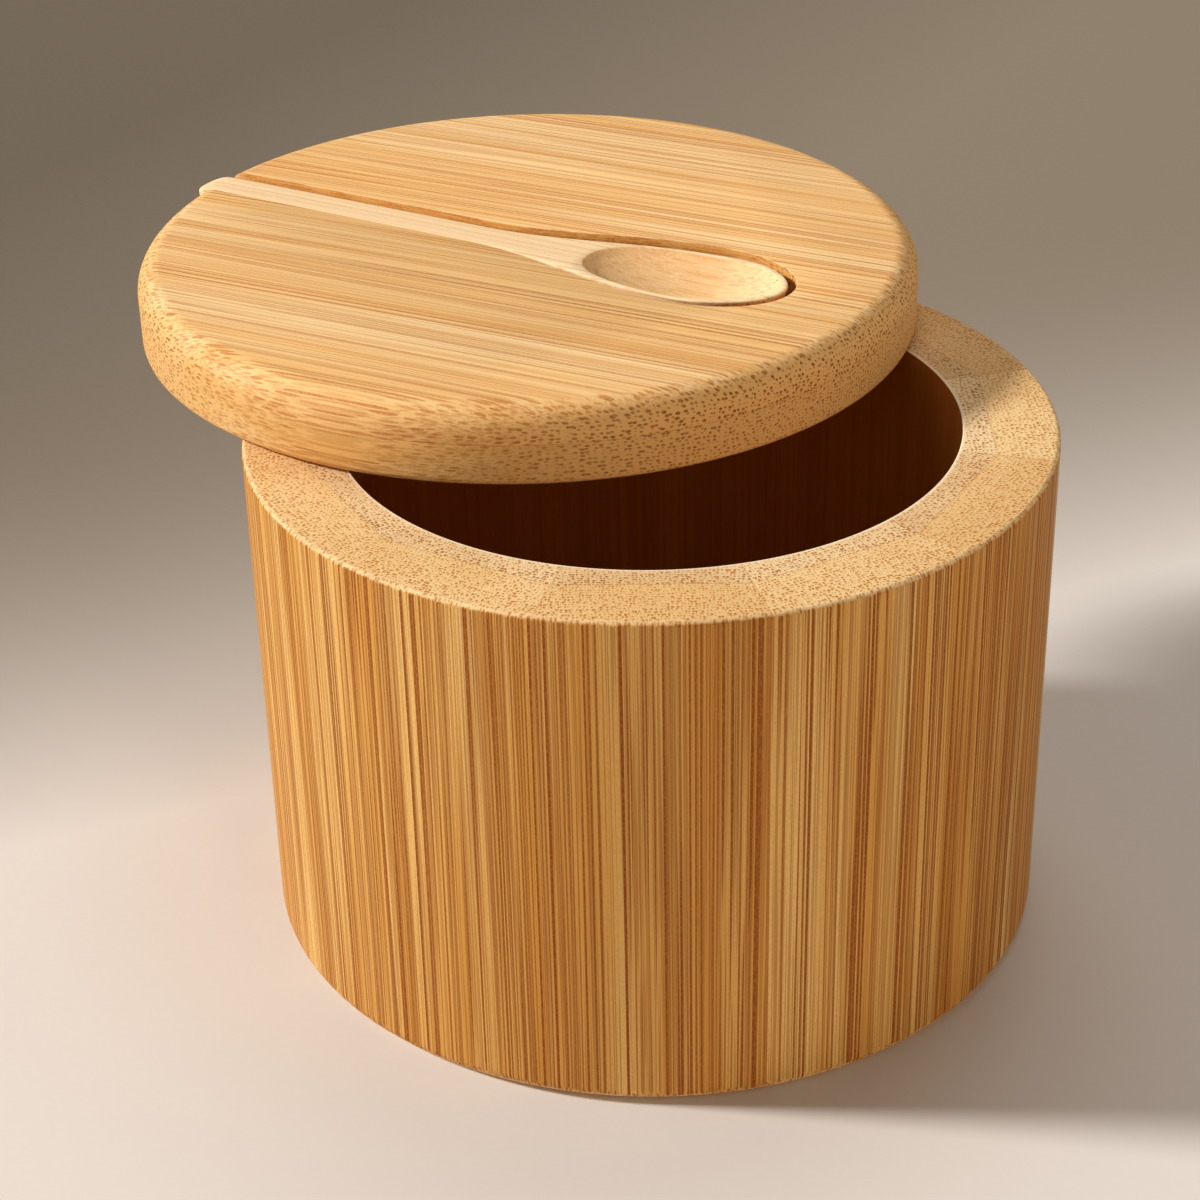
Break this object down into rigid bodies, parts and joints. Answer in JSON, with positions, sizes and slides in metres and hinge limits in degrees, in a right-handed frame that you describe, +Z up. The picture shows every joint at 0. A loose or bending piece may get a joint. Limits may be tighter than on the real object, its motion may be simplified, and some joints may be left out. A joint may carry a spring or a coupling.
{
  "type": "bamboo spice box",
  "caption": "Round bamboo box for salt or spice: a wall of glued two-strip staves, a two-ply lid that swivels open on a hidden pin, and a small spoon lying in a recess in the lid.",
  "frame": {"origin": "centre of the jar's flat base", "axes": "+Z up along the jar's axis; the camera of the picture looks along +Y; the pivot is at the back right and the open lid stands to the back left"},
  "size_m": [0.1042, 0.1192, 0.0682],
  "materials": {
    "wall_outer": "turned and oiled bamboo",
    "wall_inner": "turned and oiled bamboo",
    "floor": "sanded bamboo",
    "lid_lower": "sanded and oiled bamboo",
    "lid_upper": "sanded and oiled bamboo",
    "spoon": "sanded bamboo",
    "pin_steel": "drawn steel",
    "bush_brass": "turned brass",
    "washer_nylon": "natural nylon"
  },
  "bodies": {
    "jar": {"outer_stave_01": "wall_outer", "inner_stave_01": "wall_inner", "outer_stave_02": "wall_outer", "inner_stave_02": "wall_inner", "outer_stave_03": "wall_outer", "inner_stave_03": "wall_inner", "outer_stave_04": "wall_outer", "inner_stave_04": "wall_inner", "outer_stave_05": "wall_outer", "inner_stave_05": "wall_inner", "outer_stave_06": "wall_outer", "inner_stave_06": "wall_inner", "outer_stave_07": "wall_outer", "inner_stave_07": "wall_inner", "outer_stave_08": "wall_outer", "inner_stave_08": "wall_inner", "outer_stave_09": "wall_outer", "inner_stave_09": "wall_inner", "outer_stave_10": "wall_outer", "inner_stave_10": "wall_inner", "outer_stave_11": "wall_outer", "inner_stave_11": "wall_inner", "outer_stave_12": "wall_outer", "inner_stave_12": "wall_inner", "floor_disc": "floor", "pivot_pin": "pin_steel", "pivot_washer": "washer_nylon"},
    "lid": {"lid_lower_ply": "lid_lower", "lid_upper_ply": "lid_upper", "pivot_bush": "bush_brass"},
    "spoon": {"spoon": "spoon"}
  },
  "joints": [
    {"name": "lid_swivel", "type": "hinge", "parent": "jar", "child": "lid", "pos_m": [0.02593, 0.03046, 0.0593], "axis": [0, 0, 1], "range_deg": [-312.4, 47.6]},
    {"name": "spoon_lift", "type": "slide", "parent": "lid", "child": "spoon", "axis": [0, 0, 1], "range_m": [0, 0.03]}
  ]
}
